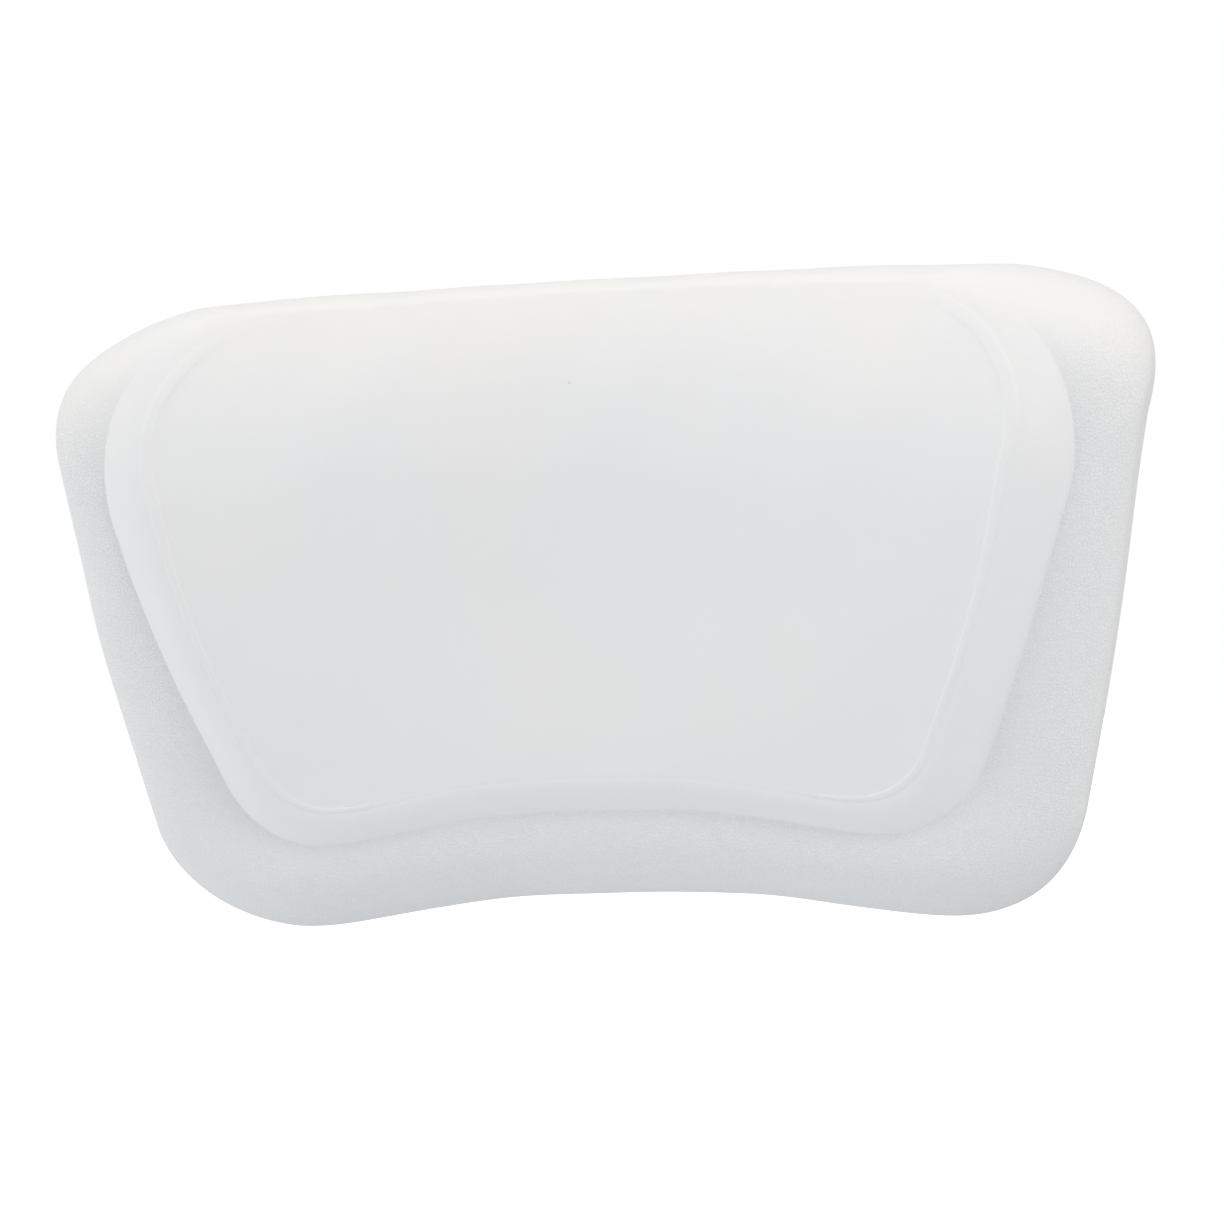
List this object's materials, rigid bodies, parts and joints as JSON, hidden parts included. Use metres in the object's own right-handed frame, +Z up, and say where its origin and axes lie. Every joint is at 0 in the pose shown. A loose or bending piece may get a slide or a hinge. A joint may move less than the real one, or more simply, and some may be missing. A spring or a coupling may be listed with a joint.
{
  "type": "bath pillow",
  "caption": "Moulded foam bath pillow: a rounded trapezoid with a raised pad and a shallow head hollow in front, and suction cups in keyhole sockets on its flat back.",
  "frame": {"origin": "on the plane of the suction cups' rims, which is the wall of the bath, in the middle of the suction cups", "axes": "+X along the pillow's width, to the right as a person facing its front sees it; +Y into the wall, so the pad faces -Y; +Z up, from the arched bottom edge to the thick rolled top"},
  "size_m": [0.298, 0.0816, 0.1735],
  "materials": {
    "skin": "white moulded polyurethane skin, satin, with a fine leather grain",
    "foam": "off-white cellular polyurethane foam, matt",
    "insert": "white injection-moulded plastic",
    "stud": "white injection-moulded plastic, smooth",
    "cup": "soft milky vinyl, smooth and glossy"
  },
  "bodies": {
    "pillow": {"outer_skin": "skin", "foam_core": "foam", "stiffener_plate": "insert", "keyhole_socket_upper_left": "insert", "socket_cap_upper_left": "insert", "keyhole_socket_upper_right": "insert", "socket_cap_upper_right": "insert", "keyhole_socket_lower_left": "insert", "socket_cap_lower_left": "insert", "keyhole_socket_lower_right": "insert", "socket_cap_lower_right": "insert"},
    "stud_upper_left": {"cup_stud_upper_left": "stud"},
    "cup_upper_left": {"suction_cup_upper_left": "cup"},
    "stud_upper_right": {"cup_stud_upper_right": "stud"},
    "cup_upper_right": {"suction_cup_upper_right": "cup"},
    "stud_lower_left": {"cup_stud_lower_left": "stud"},
    "cup_lower_left": {"suction_cup_lower_left": "cup"},
    "stud_lower_right": {"cup_stud_lower_right": "stud"},
    "cup_lower_right": {"suction_cup_lower_right": "cup"}
  },
  "joints": [
    {"name": "stud_slide_upper_left", "type": "slide", "parent": "pillow", "child": "stud_upper_left", "axis": [0, 0, -1], "range_m": [0, 0.014]},
    {"name": "cup_spin_upper_left", "type": "hinge", "parent": "stud_upper_left", "child": "cup_upper_left", "pos_m": [-0.084, 0, 0.037], "axis": [0, 1, 0], "continuous": true},
    {"name": "stud_slide_upper_right", "type": "slide", "parent": "pillow", "child": "stud_upper_right", "axis": [0, 0, -1], "range_m": [0, 0.014]},
    {"name": "cup_spin_upper_right", "type": "hinge", "parent": "stud_upper_right", "child": "cup_upper_right", "pos_m": [0.084, 0, 0.037], "axis": [0, 1, 0], "continuous": true},
    {"name": "stud_slide_lower_left", "type": "slide", "parent": "pillow", "child": "stud_lower_left", "axis": [0, 0, -1], "range_m": [0, 0.014]},
    {"name": "cup_spin_lower_left", "type": "hinge", "parent": "stud_lower_left", "child": "cup_lower_left", "pos_m": [-0.06, 0, -0.037], "axis": [0, 1, 0], "continuous": true},
    {"name": "stud_slide_lower_right", "type": "slide", "parent": "pillow", "child": "stud_lower_right", "axis": [0, 0, -1], "range_m": [0, 0.014]},
    {"name": "cup_spin_lower_right", "type": "hinge", "parent": "stud_lower_right", "child": "cup_lower_right", "pos_m": [0.06, 0, -0.037], "axis": [0, 1, 0], "continuous": true}
  ]
}
